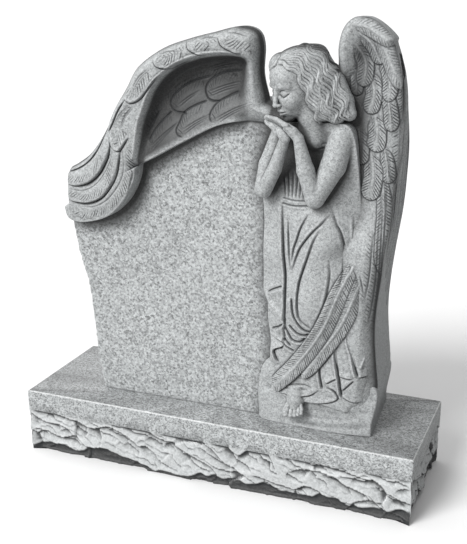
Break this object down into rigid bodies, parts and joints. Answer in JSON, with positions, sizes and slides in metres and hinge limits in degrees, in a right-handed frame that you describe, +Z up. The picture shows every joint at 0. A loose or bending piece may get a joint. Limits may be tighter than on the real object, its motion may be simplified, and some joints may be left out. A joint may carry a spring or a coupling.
{
  "type": "angel headstone",
  "caption": "Granite angel headstone: a praying winged figure carved beside a plain tablet, one great wing arching over it, standing on a rock-pitched base.",
  "frame": {"origin": "middle of the base's underside", "axes": "+Z up, +X along the width towards the figure, the carved front faces -Y"},
  "size_m": [1.2192, 0.4064, 1.3525],
  "materials": {
    "granite_base": "light grey granite, polished top and smooth margin, rock-pitched sides",
    "granite_headstone": "light grey granite, honed tablet face, fine-rubbed carving"
  },
  "bodies": {
    "root": {"base": "granite_base", "headstone": "granite_headstone"}
  },
  "joints": []
}
